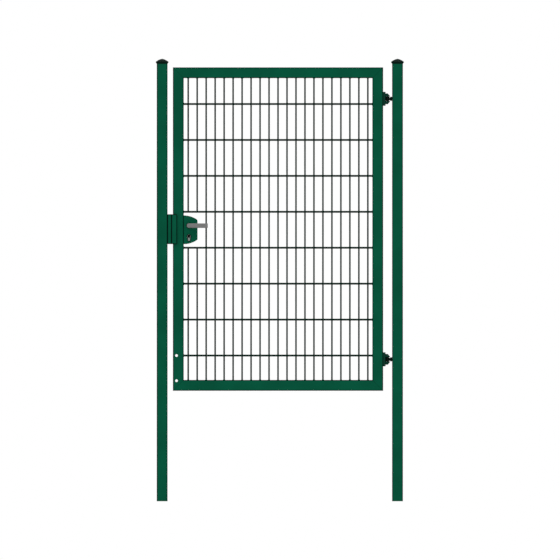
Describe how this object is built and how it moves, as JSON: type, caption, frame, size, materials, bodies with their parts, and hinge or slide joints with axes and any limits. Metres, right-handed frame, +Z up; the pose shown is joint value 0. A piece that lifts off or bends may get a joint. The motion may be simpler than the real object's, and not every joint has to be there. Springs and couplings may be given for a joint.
{
  "type": "single-leaf garden gate",
  "caption": "Single-leaf garden gate: a welded frame of steel tube with a double-wire mesh infill, hung between two capped square posts, with a lever lock and its keeper.",
  "frame": {"origin": "middle of the foot of the hinge post, on its lower end face", "axes": "+Z up along the posts, +X from the latch post towards the hinge post, seen to the right from the front; the front, from which the leaf opens away, is -Y"},
  "size_m": [1.382, 0.14, 2.463],
  "materials": {
    "post_green": "moss-green powder coat, satin",
    "frame_green": "moss-green powder coat, satin",
    "mesh_green": "moss-green powder coat over galvanized wire",
    "lock_green": "moss-green powder coat on a cast housing",
    "cap_black": "moulded, very dark green",
    "hinge_black": "very dark green powder coat on cast steel",
    "lever_aluminium": "brushed, clear anodized",
    "trim_black": "moulded black",
    "bright_steel": "stainless",
    "cylinder_nickel": "satin nickel plate",
    "plug_dark": "dark nickel plate",
    "buffer_rubber": "moulded black rubber"
  },
  "bodies": {
    "posts": {"hinge_post": "post_green", "latch_post": "post_green", "hinge_post_cap": "cap_black", "latch_post_cap": "cap_black", "keeper": "lock_green", "keeper_buffer": "buffer_rubber", "keeper_cap_top": "cap_black", "keeper_cap_bottom": "cap_black", "upper_eye_bolt": "hinge_black", "lower_eye_bolt": "hinge_black"},
    "leaf": {"top_rail": "frame_green", "bottom_rail": "frame_green", "hinge_stile": "frame_green", "latch_stile": "frame_green", "mesh_panel": "mesh_green", "lock_case": "lock_green", "lock_cover": "lock_green", "lock_screws": "bright_steel", "latch_bolt": "bright_steel", "dead_bolt": "bright_steel", "cylinder_body": "cylinder_nickel", "cylinder_plug_front": "plug_dark", "cylinder_plug_back": "plug_dark", "escutcheon_front": "trim_black", "escutcheon_back": "trim_black", "collar_front": "trim_black", "collar_back": "trim_black", "upper_bracket": "hinge_black", "upper_pin": "bright_steel", "lower_bracket": "hinge_black", "lower_pin": "bright_steel"},
    "handle": {"spindle": "bright_steel", "lever_front": "lever_aluminium", "lever_back": "lever_aluminium"}
  },
  "joints": [
    {"name": "leaf_swing", "type": "hinge", "parent": "posts", "child": "leaf", "pos_m": [-0.056, 0, 1.515], "axis": [0, 0, -1], "range_deg": [0, 90]},
    {"name": "handle_turn", "type": "hinge", "parent": "leaf", "child": "handle", "pos_m": [-1.1605, 0, 1.534], "axis": [0, 1, 0], "range_deg": [0, 40], "stiffness_Nm_per_rad": 1.5, "springref_deg": -28.65}
  ]
}
